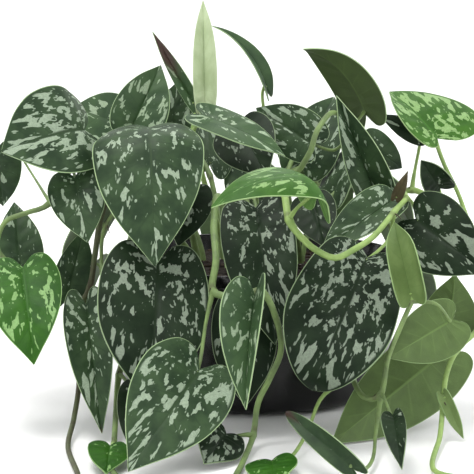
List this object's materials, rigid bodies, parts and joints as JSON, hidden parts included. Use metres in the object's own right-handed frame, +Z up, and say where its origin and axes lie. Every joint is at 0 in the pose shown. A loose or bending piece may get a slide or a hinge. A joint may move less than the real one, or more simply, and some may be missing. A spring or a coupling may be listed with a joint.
{
  "type": "satin pothos plant in a pot",
  "caption": "Trailing foliage plant with silver-mottled satin heart-shaped leaves on arching and hanging stems, in a plain round glossy black pot.",
  "frame": {"origin": "centre of the pot's underside, on the surface that the pot stands on", "axes": "+Z up along the pot's axis, -Y towards the side from which the plant is pictured, +X to the right in that view"},
  "size_m": [0.3819, 0.4552, 0.2875],
  "materials": {
    "pot_gloss": "smooth glossy black plastic",
    "soil_dark": "dark moist potting soil",
    "leaf_satin": "dark green satin leaf with silver mottling",
    "leaf_young": "fresh green satin young leaf",
    "stem_green": "smooth olive-green living stem",
    "stem_brown": "older brownish stem"
  },
  "bodies": {
    "root": {"pot": "pot_gloss", "soil": "soil_dark", "stem_left_crown": "stem_green", "stem_left_trailing": "stem_brown", "stem_left_front": "stem_green", "stem_centre_front": "stem_green", "stem_right_bright": "stem_green", "stem_right_top": "stem_green", "stem_right_front": "stem_green", "stem_right_outer": "stem_green", "stem_top_left": "stem_green", "stem_top_centre": "stem_green", "spray_back_1": "stem_green", "spray_back_2": "stem_green", "spray_back_3": "stem_green", "spray_back_4": "stem_green", "spray_back_5": "stem_green", "leaf_left_drooping": "leaf_satin", "leaf_left_edge": "leaf_satin", "leaf_left_back": "leaf_satin", "leaf_left_round": "leaf_satin", "leaf_left_upright": "leaf_satin", "leaf_left_bright": "leaf_young", "leaf_left_standing": "leaf_satin", "leaf_left_long": "leaf_satin", "leaf_floor_left": "leaf_young", "leaf_front_silver": "leaf_satin", "leaf_shadow_left": "leaf_satin", "leaf_low_dark": "leaf_satin", "leaf_low_left": "leaf_young", "leaf_front_low": "leaf_satin", "leaf_front_narrow": "leaf_satin", "leaf_centre_large": "leaf_satin", "leaf_centre_dark": "leaf_satin", "leaf_low_mottled": "leaf_satin", "leaf_lime_arching": "leaf_young", "leaf_right_large": "leaf_satin", "leaf_right_slanting": "leaf_satin", "leaf_right_round": "leaf_satin", "leaf_right_folded": "leaf_satin", "leaf_top_olive": "leaf_satin", "leaf_top_grey": "leaf_satin", "leaf_right_curled": "leaf_satin", "leaf_shadow_lower": "leaf_satin", "leaf_right_grey": "leaf_satin", "leaf_low_slim": "leaf_satin", "leaf_low_heart": "leaf_young", "leaf_right_bright": "leaf_young", "leaf_right_cupped": "leaf_satin", "leaf_right_olive": "leaf_satin", "leaf_low_green": "leaf_satin", "leaf_floor_right": "leaf_satin", "leaf_new_upright": "leaf_young", "leaf_top_folded": "leaf_satin", "leaf_top_small": "leaf_satin", "leaf_front_heart": "leaf_satin", "leaf_top_green": "leaf_satin", "leaf_shadow_centre": "leaf_satin"}
  },
  "joints": []
}
